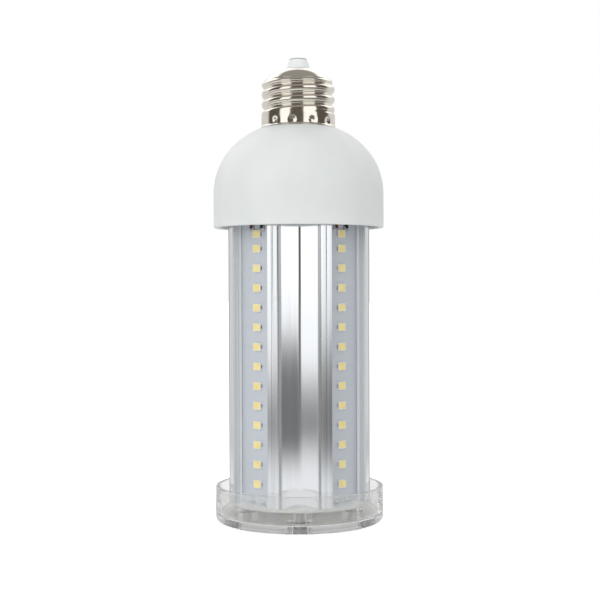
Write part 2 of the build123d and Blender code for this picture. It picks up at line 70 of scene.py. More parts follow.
def softCorners(outline, cut, count=5):
    # each corner of a closed outline becomes a parabola that leaves both sides smoothly:
    # (1 - s)^2 start + 2 s (1 - s) corner + s^2 end, with a spare point on each side to keep the flats flat
    before = np.roll(outline, 1, axis=0) - outline
    after = np.roll(outline, -1, axis=0) - outline
    lengthBefore = np.linalg.norm(before, axis=1, keepdims=True)
    lengthAfter = np.linalg.norm(after, axis=1, keepdims=True)
    cut = np.broadcast_to(np.asarray(cut, float).reshape(-1, 1), lengthBefore.shape)
    start = outline + before / lengthBefore * np.minimum(cut, cornerShare["most"] * lengthBefore)
    end = outline + after / lengthAfter * np.minimum(cut, cornerShare["most"] * lengthAfter)
    s = np.linspace(0, 1, count)[:, None, None]
    curve = (1 - s) ** 2 * start + 2 * s * (1 - s) * outline + s ** 2 * end
    spareStart = outline + (start - outline) * cornerShare["spare"]
    spareEnd = outline + (end - outline) * cornerShare["spare"]
    curve = np.concatenate([spareStart[None], curve, spareEnd[None]])
    return curve.transpose(1, 0, 2).reshape(-1, 2)


def around(radius, turn, height):  # (r, z) at angle t is (r cos t, r sin t, z)
    return np.stack(np.broadcast_arrays(radius * np.cos(turn), radius * np.sin(turn), height), axis=-1)


def revolve(outline, count):  # an (r, z) outline carried round the z axis
    return around(outline[:, :1], np.linspace(0, 2 * pi, count, endpoint=False), outline[:, 1:])


def drawnUp(outline, heights):  # one outline at several heights
    grid = np.repeat(outline[None], len(heights), axis=0)
    level = np.broadcast_to(np.asarray(heights, float)[:, None, None], (*grid.shape[:2], 1))
    return np.concatenate([grid, level], axis=-1)


def moved(points, offset):
    return points + np.asarray(offset, float)


def smooth(value, start, end):  # 0 below start, 1 above end, 3 s^2 - 2 s^3 between
    s = np.clip((value - start) / (end - start), 0, 1)
    return s * s * (3 - 2 * s)


def gridFaces(rows, columns, closeRows=False):  # quads between neighbouring points of rows that run all round
    row = np.arange(rows if closeRows else rows - 1)[:, None]
    column = np.arange(columns)[None, :]
    nextColumn = (column + 1) % columns
    here, there = row * columns, (row + 1) % rows * columns
    quads = np.broadcast_arrays(here + column, here + nextColumn, there + nextColumn, there + column)
    return np.stack(quads, axis=-1).reshape(-1, 4)


class Shell:
    # gathers grids and flat faces of one piece
    def __init__(self):
        self.points, self.faces, self.count = [], [], 0

    def add(self, points, faces):
        points = np.asarray(points, float).reshape(-1, 3)
        self.faces += (np.asarray(faces) + self.count).tolist()
        self.points.append(points)
        self.count += len(points)

    def grid(self, points, closeRows=False):
        self.add(points, gridFaces(*points.shape[:2], closeRows))

    def flat(self, outer, holes, height, up):  # flat face at one height, with holes
        loops = [np.column_stack([loop, np.full(len(loop), height)]) for loop in (outer, *holes)]
        triangles = np.array(tessellate_polygon([loop.tolist() for loop in loops]))
        points = np.concatenate(loops)
        a, b, c = (points[triangles[:, k], :2] for k in range(3))
        turn = (b - a)[:, 0] * (c - a)[:, 1] - (b - a)[:, 1] * (c - a)[:, 0]
        wrong = (turn > 0) != up
        triangles[wrong] = triangles[wrong][:, ::-1]
        self.add(points, triangles[np.abs(turn) > 1e-9])  # without empty triangles

    def rings(self, rings):
        # the rings of each copy become one form, closed at both ends: rings[copy, ring, point]
        copies, ringCount, pointCount = rings.shape[:3]
        size = ringCount * pointCount
        first = np.arange(copies)[:, None, None] * size
        quads = (gridFaces(ringCount, pointCount)[None] + first).reshape(-1, 4)
        ends = np.stack([np.arange(pointCount)[::-1], np.arange(size - pointCount, size)])
        ends = (ends[:, None] + first[:, 0] + self.count).reshape(-1, pointCount)
        self.add(rings, quads)
        self.faces += ends.tolist()

    def piece(self, name, material, slot, nodes=(), sharp=35.0):  # sharper turns than this stay crisp
        mesh = bpy.data.meshes.new(name)
        mesh.from_pydata((np.concatenate(self.points) * mm).tolist(), [], self.faces)
        work = bmesh.new()
        work.from_mesh(mesh)
        bmesh.ops.remove_doubles(work, verts=work.verts, dist=weld["merge"] * mm)
        bmesh.ops.dissolve_degenerate(work, edges=work.edges, dist=weld["sliver"] * mm)
        work.to_mesh(mesh)
        work.free()
        mesh.shade_smooth()
        mesh.set_sharp_from_angle(angle=radians(sharp))
        mesh.materials.append(material)
        made = bpy.data.objects.new(name, mesh)
        bpy.context.collection.objects.link(made)
        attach(made, "root")
        if nodes:
            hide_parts(*nodes)
        return made


# materials

def tone(red, green, blue):  # screen colour 0-255 to linear
    c = np.array([red, green, blue]) / 255
    return (*np.where(c <= 0.04045, c / 12.92, ((c + 0.055) / 1.055) ** 2.4).tolist(), 1.0)


class Value:
    # a node's output; sums, products and the like add Math nodes beside it
    def __init__(self, tree, socket):
        self.tree, self.socket = tree, socket

    @staticmethod
    def node(tree, kind, settings=None, sockets=None, output=0):
        made = tree.nodes.new(kind)
        for name, value in (settings or {}).items():
            setattr(made, name, value)
        for name, value in (sockets or {}).items():
            if isinstance(value, Value):
                tree.links.new(value.socket, made.inputs[name])
            else:
                made.inputs[name].default_value = value
        return Value(tree, made.outputs[output]) if made.outputs else None

    def math(self, operation, first, second=0.0):
        return Value.node(self.tree, "ShaderNodeMath", {"operation": operation}, {0: first, 1: second})

    def __add__(self, other):
        return self.math("ADD", self, other)

    def __radd__(self, other):
        return self.math("ADD", other, self)

    def __sub__(self, other):
        return self.math("SUBTRACT", self, other)

    def __rsub__(self, other):
        return self.math("SUBTRACT", other, self)

    def __mul__(self, other):
        return self.math("MULTIPLY", self, other)

    def __rmul__(self, other):
        return self.math("MULTIPLY", other, self)

    def __truediv__(self, other):
        return self.math("DIVIDE", self, other)

    def __pow__(self, other):
        return self.math("POWER", self, other)

    def low(self, other):
        return self.math("MINIMUM", self, other)

    def high(self, other):
        return self.math("MAXIMUM", self, other)

    def size(self):
        return self.math("ABSOLUTE", self)

    def fraction(self):
        return self.math("FRACT", self)

    def rise(self, start, end):  # 0 below start, 1 above end, smooth between
        return Value.node(
            self.tree, "ShaderNodeMapRange", {"interpolation_type": "SMOOTHSTEP"},
            {"Value": self, "From Min": start, "From Max": end},
        )

    def band(self, start, startFull, endFull, end):  # 1 from startFull to endFull, 0 outside start and end
        return self.rise(start, startFull) * (1 - self.rise(endFull, end))

    def parts(self):  # x, y, z of a vector
        return [Value.node(self.tree, "ShaderNodeSeparateXYZ", None, {0: self}, axis) for axis in range(3)]


def fade(first, second, share):  # first where share is 0, second where it is 1
    return first + (second - first) * share


def place(tree):  # x, y, z on the piece, in millimetres
    coords = Value.node(tree, "ShaderNodeTexCoord", output="Object")
    scaled = Value.node(tree, "ShaderNodeVectorMath", {"operation": "SCALE"}, {0: coords, "Scale": 1 / mm})
    return scaled.parts()


def fromAxis(x, y):
    return (x * x + y * y) ** 0.5


def fromStrip(x, y):  # distance across from the nearest strip's middle line
    return (x + y).size().low((x - y).size()) * sqrt(0.5)


def noise(tree, stretch, detail=3.0):  # fractal noise, stretch = features per millimetre along x, y, z
    coords = Value.node(tree, "ShaderNodeTexCoord", output="Object")
    scale = tuple(s / mm for s in stretch)
    scaled = Value.node(tree, "ShaderNodeVectorMath", {"operation": "MULTIPLY"}, {0: coords, 1: scale})
    return Value.node(tree, "ShaderNodeTexNoise", None, {"Vector": scaled, "Scale": 1.0, "Detail": detail})


def blend(tree, factor, first, second):  # colour mix
    return Value.node(tree, "ShaderNodeMix", {"data_type": "RGBA"}, {0: factor, 6: first, 7: second}, 2)


def bump(tree, height, strength, depth):  # depth in millimetres
    sockets = {"Height": height, "Strength": strength, "Distance": depth * mm}
    return Value.node(tree, "ShaderNodeBump", None, sockets)


def finish(name, look, paint):  # look = fixed sockets, paint(tree) = what changes over the surface
    material = bpy.data.materials.new(name)
    material.use_nodes = True
    tree = material.node_tree
    shader = tree.nodes["Principled BSDF"]
    for socket, value in look.items():
        shader.inputs[socket].default_value = value
    for socket, value in paint(tree).items():
        tree.links.new(value.socket, shader.inputs[socket])
    return material


def mottled(name, look, first, second, grain, rough):
    # plain finish that varies a little: two screen colours, two roughnesses and a fine bump from one noise
    def paint(tree):
        cloud = noise(tree, np.broadcast_to(grain, 3).tolist())
        return {
            "Base Color": blend(tree, cloud, tone(*first), tone(*second)),
            "Roughness": fade(*rough, cloud),
            "Normal": bump(tree, cloud, 0.15, 0.03),
        }
    return finish(name, look, paint)


def paintHousing(tree):  # moulded plastic: fine orange peel and a hint of handling marks
    peel = noise(tree, (1.6, 1.6, 1.6))
    marks = noise(tree, (0.09, 0.09, 0.05))
    return {
        "Base Color": blend(tree, marks.rise(0.35, 0.75), tone(226, 229, 228), tone(221, 225, 224)),
        "Roughness": 0.34 + 0.1 * marks + 0.05 * peel,
        "Normal": bump(tree, peel, 0.06, 0.05),
    }


# where the column's finish changes: channel walls across and out from a strip's middle, the round land beside
# them by its radius; and the grooves across and out from a flute's middle, where painted shade darkens the
# metal
columnLook = {"wall": (7.8, 7.9, 8.55, 8.65), "wallOut": (20.4, 20.6), "land": (25.35, 25.6),
              "groove": (6.28, 6.4, 7.15, 7.27), "grooveOut": (23.8, 24.0)}


def paintColumn(tree):  # extruded aluminium: long die lines, a few shallow scuffs, satin channel walls, painted shade in the grooves
    x, y = place(tree)[:2]
    out = (x.size() + y.size()) * sqrt(0.5)
    wall = fromStrip(x, y).band(*columnLook["wall"]) * out.rise(*columnLook["wallOut"])
    radius = fromAxis(x, y)
    land = radius.rise(*columnLook["land"])
    # painted shade: the grooves' base colour goes dark grey, as if shaded inside the recess
    groove = x.size().low(y.size()).band(*columnLook["groove"]) * radius.rise(*columnLook["grooveOut"])
    lines = noise(tree, (3.5, 3.5, 0.004), 4.0)
    wide = noise(tree, (0.7, 0.7, 0.002), 2.0)
    scuffs = noise(tree, (0.5, 0.5, 0.12), 5.0).rise(0.6, 0.8)
    streaks = noise(tree, (1.1, 1.1, 0.002), 3.0).rise(0.35, 0.65)
    bright = blend(tree, lines, tone(240, 242, 244), tone(228, 231, 234))
    # what darkens the base colour: streaky satin on walls and land, and painted shade in the grooves
    dullAndShade = (wall * streaks * 0.4).high(groove).high(land * (0.07 + 0.28 * streaks))
    rubbed = 0.05 + 0.06 * lines + 0.04 * wide + 0.04 * scuffs
    return {
        "Base Color": blend(tree, dullAndShade, bright, tone(180, 184, 187)),
        "Metallic": 1 - 0.65 * wall,
        "Roughness": rubbed + 0.3 * wall + 0.05 * land + 0.1 * groove,
        "Normal": bump(tree, lines + wide, 0.12, 0.012),
    }


def paintNickel(tree):  # plated shell: faint turning lines and spots
    spots = noise(tree, (2.2, 2.2, 2.2), 4.0)
    lines = noise(tree, (0.15, 0.15, 9.0), 2.0)
    return {
        "Base Color": blend(tree, spots, tone(235, 230, 221), tone(226, 219, 207)),
        "Roughness": 0.07 + 0.06 * spots + 0.04 * lines,
        "Normal": bump(tree, spots + 0.5 * lines, 0.05, 0.01),
    }


# copper under the mask: half width of the lands, and the bare gaps between them up the strip
boardLook = {"track": (6.4, 6.65), "gap": (0.15, 0.4), "pitch": 6.82, "phase": 18.31}


def paintBoard(tree):  # white solder mask with the copper lands just showing through
    x, y, z = place(tree)
    step = ((z - boardLook["phase"]) / boardLook["pitch"]).fraction()
    between = (step - 0.5).size() * boardLook["pitch"]
    land = (1 - fromStrip(x, y).rise(*boardLook["track"])) * between.rise(*boardLook["gap"])
    cloud = noise(tree, (0.4, 0.4, 0.4))
    grain = noise(tree, (4.0, 4.0, 4.0))
    return {
        "Base Color": blend(tree, land * 0.6 + 0.4 * cloud, tone(193, 199, 206), tone(199, 205, 211)),
        "Roughness": 0.42 - 0.08 * land + 0.06 * grain,
        "Normal": bump(tree, land + 0.1 * grain, 0.25, 0.03),
    }


def paintPhosphor(tree):  # yellow silicone, a little uneven
    cloud = noise(tree, (0.55, 0.55, 0.55))
    grain = noise(tree, (5.0, 5.0, 5.0))
    return {
        "Base Color": blend(tree, cloud.rise(0.3, 0.7), tone(246, 231, 162), tone(241, 220, 142)),
        "Roughness": 0.3 + 0.15 * grain,
        "Normal": bump(tree, grain, 0.1, 0.02),
    }


# where the clear cap changes: the round of its foot by radius and height, the top of its floor and the foot
# of its wall; the floor and the round of the foot get painted shade, a grey in the base colour
clearLook = {"footOut": (28.2, 28.8), "footHeight": (0.3, 0.9, 2.0, 3.0), "floorTop": (2.4, 3.4),
             "wallFoot": (3.5, 5.0), "floorShade": 0.23, "footShade": 0.21, "wallThin": 0.18}


def paintClear(tree):  # clear moulding: faint haze and flow marks; painted shade greys the floor and the round of the foot
    x, y, z = place(tree)
    haze = noise(tree, (0.2, 0.2, 0.6))
    # painted shade: the floor below its top and the round of the foot are greyed, standing in for the shade
    # under the column
    foot = fromAxis(x, y).rise(*clearLook["footOut"]) * z.band(*clearLook["footHeight"])
    paintedShade = clearLook["floorShade"] * (1 - z.rise(*clearLook["floorTop"])) + clearLook["footShade"] * foot
    return {
        "Base Color": blend(tree, paintedShade, (0.9, 0.9, 0.892, 1.0), (0.0, 0.0, 0.0, 1.0)),
        "Roughness": 0.04 + 0.05 * haze,
        "Alpha": 1 - clearLook["wallThin"] * z.rise(*clearLook["wallFoot"]),  # a thin wall bends light less
        "Normal": bump(tree, haze, 0.03, 0.03),
    }


def paintDriverBoard(tree):  # green board with paler tracks, which follow the level lines of a cloud
    cloud = noise(tree, (0.25, 0.25, 0.25), 1.0)
    tracks = ((cloud * 9.0).fraction() - 0.5).size().rise(0.28, 0.34)
    return {
        "Base Color": blend(tree, tracks, tone(28, 92, 48), tone(52, 122, 66)),
        "Roughness": 0.35 + 0.1 * tracks,
        "Normal": bump(tree, tracks, 0.2, 0.03),
    }


def paintEndBoard(tree):  # white mask on both faces, bare metal on the edge
    x, y = place(tree)[:2]
    rim = fromAxis(x, y).rise(25.3, 25.45)
    grain = noise(tree, (3.0, 3.0, 3.0))
    return {
        "Base Color": blend(tree, rim, tone(208, 210, 210), tone(205, 206, 205)),
        "Roughness": 0.4 + 0.1 * grain - 0.1 * rim,
        "Metallic": 0.8 * rim,
        "Normal": bump(tree, grain, 0.1, 0.02),
    }


housingWhite = finish("housingWhite", {
    "IOR": 1.46, "Subsurface Weight": 0.6, "Subsurface Radius": (1.0, 1.0, 1.0), "Subsurface Scale": 0.003
}, paintHousing)
brightAluminium = finish("brightAluminium", {}, paintColumn)
platedNickel = finish("platedNickel", {"Metallic": 1.0}, paintNickel)
boardWhite = finish("boardWhite", {"IOR": 1.5}, paintBoard)
endBoardWhite = finish("endBoardWhite", {"IOR": 1.5}, paintEndBoard)
phosphor = finish("phosphor", {"IOR": 1.42}, paintPhosphor)
clearPlastic = finish("clearPlastic", {"Transmission Weight": 0.97, "IOR": 1.3}, paintClear)
driverGreen = finish("driverGreen", {"IOR": 1.5}, paintDriverBoard)
ledWhite = mottled("ledWhite", {"IOR": 1.5}, (240, 240, 236), (232, 233, 230), 1.5, (0.3, 0.42))
insulatorWhite = mottled("insulatorWhite", {"IOR": 1.5}, (240, 241, 241), (233, 235, 236), 0.8, (0.42, 0.5))
brightSolder = mottled("brightSolder", {"Metallic": 1.0}, (205, 206, 208), (172, 174, 178), 2.5, (0.22, 0.4))
dullTin = mottled("dullTin", {"Metallic": 0.7}, (222, 222, 222), (200, 201, 203), 2.5, (0.4, 0.55))
screwSteel = mottled("screwSteel", {"Metallic": 1.0}, (192, 194, 196), (166, 168, 171), 2.0, (0.3, 0.45))
darkFerrite = mottled("darkFerrite", {}, (58, 58, 60), (44, 44, 47), 3.0, (0.5, 0.65))
coilTape = mottled("coilTape", {}, (226, 190, 66), (214, 176, 52), (0.3, 0.3, 2.0), (0.3, 0.4))
canBlack = mottled("canBlack", {}, (36, 36, 40), (28, 28, 31), 0.8, (0.28, 0.4))
filmBox = mottled("filmBox", {}, (214, 160, 48), (202, 146, 40), 0.9, (0.3, 0.45))
chipBlack = mottled("chipBlack", {}, (40, 40, 41), (30, 30, 31), 4.0, (0.5, 0.65))
fuseBlue = mottled("fuseBlue", {}, (112, 150, 160), (98, 138, 150), 1.2, (0.35, 0.5))
leadRed = mottled("leadRed", {}, (108, 50, 48), (92, 44, 43), 1.0, (0.35, 0.5))
leadBlack = mottled("leadBlack", {}, (42, 42, 44), (30, 30, 33), 1.0, (0.35, 0.5))
leadWhite = mottled("leadWhite", {}, (226, 226, 222), (214, 214, 210), 1.0, (0.35, 0.5))
print("materials made,", len(bpy.data.materials))


# driver housing: skirt, two-arc dome, shoulder and the neck inside the screw shell

housing = {"wall": 2.0, "skirt": 11.9, "sideRadius": 25.4, "sideTurn": 33.0, "crownRadius": 27.3,
           "shoulderLip": 0.1, "neckWall": 2.2, "neckGap": 0.1, "rimCut": 0.6, "edgeCut": 0.25,
           "crownDrop": 0.6, "dropReach": 28.0, "sides": 216}
shell = {"wall": 0.45, "root": 12.1, "crest": 13.1, "pitch": 25.4 / 7, "crestShare": 0.72,
         "firstCrest": 143.05, "skirtTop": 4.6, "skirtBlend": 0.9, "threadTop": 16.2, "runOut": 1.5,
         "noseHole": 4.5, "crownBulge": 0.85, "dimples": 12, "dimpleTurn": -9.0, "dimpleHeight": 0.95,
         "dimpleDepth": 0.42, "dimpleSize": 1.1, "flare": 0.3, "flareHeight": 0.7, "sides": 320, "rows": 150,
         "crownRows": 26}
housingLow, housingHigh = nodeBox("driver_housing")
shellLow, shellHigh = nodeBox("screw_shell")
shellFoot, shellTop, shellRadius = shellLow[2], shellHigh[2], shellHigh[0]
shellSeat = shellFoot - housing["crownDrop"]  # the skirt reaches down to the dome


def housingOutline():
    # (r, z) from the rim up the skirt, over a side arc and a crown arc that share a tangent to the shoulder,
    # up and over the neck, then back down inside on the same arcs less the wall
    radius, rim, top = housingHigh[0], housingLow[2], housingHigh[2]
    wall, turn = housing["wall"], housing["sideTurn"]
    foot = rim + housing["skirt"]
    step = housing["crownRadius"] - housing["sideRadius"]
    sideCentre = (radius - housing["sideRadius"], foot)
    crownCentre = (sideCentre[0] - step * cos(radians(turn)), foot - step * sin(radians(turn)))
    shoulder = shellRadius + housing["shoulderLip"]
    neck = shell["root"] - shell["wall"] - housing["neckGap"]
    bore = neck - housing["neckWall"]
    crownEnd = degrees(acos((shoulder - crownCentre[0]) / housing["crownRadius"]))
    boreEnd = degrees(acos((bore - crownCentre[0]) / (housing["crownRadius"] - wall)))
    outside = [
        np.array([[radius - wall, rim], [radius, rim]]),
        arc(sideCentre, housing["sideRadius"], 0, turn, 16),
        arc(crownCentre, housing["crownRadius"], turn, crownEnd, 18)[1:],
    ]
    for points in outside[1:]:  # flatter beside the neck: drop * (1 - s^2) from the neck out to dropReach
        s = np.clip((points[:, 0] - shoulder) / (housing["dropReach"] - shoulder), 0, 1)
        points[:, 1] -= housing["crownDrop"] * (1 - s ** 2)
    neckPoints = [np.array([[neck, shellSeat], [neck, top], [bore, top]])]
    inside = [
        arc(crownCentre, housing["crownRadius"] - wall, boreEnd, turn, 14),
        arc(sideCentre, housing["sideRadius"] - wall, turn, 0, 12)[1:],
    ]
    outline = np.concatenate(outside + neckPoints + inside)
    cut = np.full(len(outline), housing["edgeCut"])
    cut[:2] = housing["rimCut"]
    return softCorners(outline, cut)


dome = Shell()
dome.grid(revolve(housingOutline(), housing["sides"]), closeRows=True)
dome.piece("housing_dome", housingWhite, "housing_white", ["driver_housing"])
print("housing made")


# screw shell: rolled knuckle thread, crimp dimples round the foot and a domed top

def threadRadius(turn, height):
    # two arcs a turn, tangent where they meet: crest - A + sqrt(A^2 - t^2) round the crest and
    # root + B - sqrt(B^2 - (p/2 - t)^2) round the root, A + B = (p^2/4 + depth^2) / (2 depth),
    # with t the height from the nearest crest of a right-hand helix
    pitch, depth = shell["pitch"], shell["crest"] - shell["root"]
    both = (pitch ** 2 / 4 + depth ** 2) / (2 * depth)
    crestArc, rootArc = both * shell["crestShare"], both * (1 - shell["crestShare"])
    wave = (height - shell["firstCrest"]) / pitch - turn / (2 * pi)
    away = np.abs(wave - np.round(wave)) * pitch
    crest = shell["crest"] - crestArc + np.sqrt(np.maximum(crestArc ** 2 - away ** 2, 0))
    root = shell["root"] + rootArc - np.sqrt(np.maximum(rootArc ** 2 - (pitch / 2 - away) ** 2, 0))
    return np.where(away < pitch / 2 * shell["crestShare"], crest, root)


def shellSurface():
    # radius of the rolled shell over angle and height: the skirt's plain radius runs into the thread's,
    # the thread runs out on the top dome, and every dimple takes off depth * exp(-(distance / size)^2);
    # the dome bulges by 4 bulge s (1 - s) square to the line from the thread's top to the nose
    turn = np.linspace(0, 2 * pi, shell["sides"], endpoint=False)[None, :]
    skirtTop, threadTop = shellFoot + shell["skirtTop"], shellFoot + shell["threadTop"]
    height = np.linspace(shellSeat, threadTop, shell["rows"])[:, None]
    threaded = smooth(height, skirtTop - shell["skirtBlend"], skirtTop + shell["skirtBlend"])
    radius = shellRadius + (threadRadius(turn, height) - shellRadius) * threaded
    radius = radius + shell["flare"] * (1 - smooth(height, shellSeat, shellSeat + shell["flareHeight"]))
    radius = radius + (shell["root"] - radius) * smooth(height, threadTop - shell["runOut"], threadTop)
    step = 2 * pi / shell["dimples"]
    lane = (turn + pi / 2 - radians(shell["dimpleTurn"])) / step
    across = (lane - np.round(lane)) * step * shellRadius
    up = height - shellFoot - shell["dimpleHeight"]
    radius = radius - shell["dimpleDepth"] * np.exp(-(across ** 2 + up ** 2) / shell["dimpleSize"] ** 2)
    s = np.linspace(0, 1, shell["crownRows"])[1:, None]
    start = radius[-1:, :]
    bulge = 4 * shell["crownBulge"] * s * (1 - s)
    slope = np.arctan2(shellTop - threadTop, start - shell["noseHole"])
    crownRadius = start + (shell["noseHole"] - start) * s + bulge * np.sin(slope)
    crownHeight = threadTop + (shellTop - threadTop) * s + bulge * np.cos(slope)
    crown = around(crownRadius, turn, np.minimum(crownHeight, shellTop))
    bore = shell["root"] - shell["wall"]
    inside = np.array([[shell["noseHole"], shellTop - shell["wall"]], [bore, threadTop], [bore, shellSeat]])
    return np.concatenate([around(radius, turn, height), crown, revolve(inside, shell["sides"])])


screwShell = Shell()
screwShell.grid(shellSurface(), closeRows=True)
screwShell.piece("screw_shell_rolled", platedNickel, "nickel", ["screw_shell"], sharp=50.0)

nose = {"foot": 4.4, "tip": 3.2, "shank": 1.5, "collar": 0.5, "edge": 0.3, "pinGap": 0.1,
        "contactRound": 0.15, "contactFlat": 0.55, "contactEdge": 0.2}
insulatorFoot, noseTop = (corner[2] for corner in nodeBox("base_insulator"))
contactLow, contactHigh = nodeBox("centre_contact")
insulator = Shell()
insulator.grid(revolve(softCorners(np.array([
    [nose["shank"], insulatorFoot], [nose["foot"], insulatorFoot], [nose["foot"], shellTop - nose["collar"]],
    [nose["foot"], shellTop], [nose["tip"], noseTop], [nose["shank"], noseTop],
]), nose["edge"]), 96), closeRows=True)
insulator.piece("base_insulator_nose", insulatorWhite, "insulator_white", ["base_insulator"])
contact = Shell()
pin, contactRadius, contactTop = nose["shank"] - nose["pinGap"], contactHigh[0], contactHigh[2]
contact.grid(revolve(softCorners(np.array([
    [pin, contactLow[2]], [pin, noseTop], [contactRadius, noseTop],
    [contactRadius, contactTop - nose["contactRound"]], [contactRadius * nose["contactFlat"], contactTop],
    [0.0, contactTop], [0.0, contactLow[2]],
]), nose["contactEdge"]), 72), closeRows=True)
contact.piece("centre_contact_cap", dullTin, "nickel", ["centre_contact"])
print("screw base made")


# aluminium column: one outline with flutes, grooves, score lines and strip channels, drawn up the lamp

column = {"radius": 25.7, "fluteHalf": 6.35, "fluteSlope": 26.5, "valleyRound": 2.1, "grooveWidth": 0.85,
          "grooveDepth": 0.14, "shoulderRoll": 0.1, "rollTurn": 1.0, "rollShare": 0.75, "score": 9.4,
          "scoreHalf": 0.45, "scoreDepth": 0.075, "slotHalf": 8.5, "lip": 0.5, "lipEdge": 0.4,
          "lipWidth": 0.5, "lipSlope": 40.0, "boardGap": 0.1, "bore": 16.8, "edgeCut": 0.14, "arcCut": 0.1,
          "scoreCut": 0.08, "channelCut": 0.7, "channelDepth": 6.9, "boardThickness": 1.5}
columnLow, columnHigh = nodeBox("heat_sink")
seat = column["radius"] - column["channelDepth"]  # back of the strip boards, from the lamp axis
boardFace = seat + column["boardThickness"]


def columnOutline():
    # an eighth of the section, from a flute's middle to a strip's middle, then mirrored and turned
    half, slope, valleyRound = column["fluteHalf"], radians(column["fluteSlope"]), column["valleyRound"]
    radius = column["radius"]
    lip = sqrt(radius ** 2 - half ** 2)
    valley = lip - half * tan(slope)
    valleyCentre = valley + valleyRound / cos(slope)
    t = np.linspace(0, slope, 9)
    valleyArc = np.column_stack([valleyCentre - valleyRound * np.cos(t), valleyRound * np.sin(t)])
    # the groove's floor follows the shoulder, and the shoulder rolls down to the groove by roll * s^2
    grooveEdge = half + column["grooveWidth"]
    floorRadius = radius - column["grooveDepth"]
    floorNear, floorFar = (sqrt(floorRadius ** 2 - reach ** 2) for reach in (half, grooveEdge))
    grooveTop = sqrt((radius - column["shoulderRoll"]) ** 2 - grooveEdge ** 2)
    groove = np.array([[lip, half], [floorNear, half], [floorFar, grooveEdge], [grooveTop, grooveEdge]])
    lipTip = column["slotHalf"] - column["lip"]
    openHalf = lipTip + column["lipWidth"]
    rimStart, rimEnd = degrees(asin(grooveEdge / radius)), 45 - degrees(asin(openHalf / radius))
    scoreTurn, scoreHalf = degrees(asin(column["score"] / radius)), degrees(column["scoreHalf"] / radius)
    roll = column["shoulderRoll"] * np.linspace(column["rollShare"], 0, 7) ** 2
    rim = arc((0, 0), radius, rimStart + column["rollTurn"], scoreTurn - scoreHalf, 7)
    rim = rim * (1 - roll / radius)[:, None]
    score = arc((0, 0), radius - column["scoreDepth"], scoreTurn, scoreTurn, 1)
    rimOn = arc((0, 0), radius, scoreTurn + scoreHalf, rimEnd, 6)
    lipFoot = boardFace + column["boardGap"]
    lipTop = lipFoot + column["lipEdge"] + column["lipWidth"] * tan(radians(column["lipSlope"]))
    channel = np.array([
        [lipTop, -openHalf], [lipFoot + column["lipEdge"], -lipTip], [lipFoot, -lipTip],
        [lipFoot, -column["slotHalf"]], [seat, -column["slotHalf"]], [seat, 0.0],
    ])
    out, across = channel.T  # turned by 45 degrees to the strip's side
    channel = np.column_stack([out - across, out + across]) * sqrt(0.5)
    eighth = np.concatenate([valleyArc, groove, rim, score, rimOn, channel])
    cuts = ("arcCut", "edgeCut", "arcCut", "scoreCut", "arcCut", "channelCut", "edgeCut")
    counts = (len(valleyArc), len(groove), len(rim), len(score), len(rimOn) - 1, 1, len(channel))
    cut = np.repeat([column[name] for name in cuts], counts)
    sector = np.concatenate([eighth, eighth[::-1][1:-1, ::-1]])
    cut = np.concatenate([cut, cut[::-1][1:-1]])
    turns = np.radians(np.arange(4) * 90)
    x = np.cos(turns)[:, None] * sector[:, 0] - np.sin(turns)[:, None] * sector[:, 1]
    y = np.sin(turns)[:, None] * sector[:, 0] + np.cos(turns)[:, None] * sector[:, 1]
    return softCorners(np.column_stack([x.ravel(), y.ravel()]), np.tile(cut, 4), 4)


section = columnOutline()
boreLoop = circle(column["bore"], 96)
extrusion = Shell()
extrusion.grid(drawnUp(section, [columnLow[2], columnHigh[2]]))
extrusion.grid(drawnUp(boreLoop[::-1], [columnLow[2], columnHigh[2]]))
extrusion.flat(section, [boreLoop], columnLow[2], False)
extrusion.flat(section, [boreLoop], columnHigh[2], True)
extrusion.piece("column_extrusion", brightAluminium, "aluminium", ["heat_sink"], sharp=32.0)
print("column made,", len(section), "points round")


# LED packages: rounded rings carried from the foot up, over the edge and down into the cup

led = {"width": 3.5, "height": 2.8, "thickness": 0.8, "frame": 0.2, "corner": 0.25, "outerCorner": 0.15,
       "edgeRound": 0.06, "edgeHeight": 0.1, "lip": 0.05, "cup": 0.45, "cupTaper": 0.1, "pitch": 6.82,
       "count": 14}
dot = {"sink": 0.03, "gap": 0.01, "edge": 0.12, "edgeHeight": 0.06, "dome": 0.01, "flat": 0.5,
       "flatCorner": 0.2}
pad = {"reach": 0.4, "width": 1.3, "height": 0.35, "thin": 0.85, "bend": 0.6, "narrow": 0.12, "corner": 0.05,
       "under": 0.1}
packageLow, packageHigh = nodeBox("led_packages_1")
ledHeights = packageLow[2] + led["height"] / 2 + led["pitch"] * np.arange(led["count"])
ledHeights[-1] = packageHigh[2] - led["height"] / 2  # the highest one sits closer


def roundedRing(halfWidth, halfHeight, corner, height, count=4):  # rounded rectangle, count points a corner
    turn = np.radians(np.linspace(0, 90, count)[None, :] + np.arange(4)[:, None] * 90)
    sideX, sideY = np.array([1, -1, -1, 1])[:, None], np.array([1, 1, -1, -1])[:, None]
    x = sideX * (halfWidth - corner) + corner * np.cos(turn)
    y = sideY * (halfHeight - corner) + corner * np.sin(turn)
    return np.stack([x.ravel(), y.ravel(), np.full(x.size, height)], axis=-1)


def inset(inward, corner, height):  # ring this far inside the package's edge
    return roundedRing(led["width"] / 2 - inward, led["height"] / 2 - inward, corner, height)


def packageRings():  # up the side, over the rounded edge, across the frame and down the cup
    rim, top, corner, outer = led["frame"], led["thickness"], led["corner"], led["outerCorner"]
    return np.stack([
        inset(0.0, outer, 0.0), inset(0.0, outer, top - led["edgeHeight"]),
        inset(led["edgeRound"], outer, top), inset(rim - led["lip"], corner, top),
        inset(rim, corner, top - led["lip"]), inset(rim + led["cupTaper"], corner, top - led["cup"]),
    ])


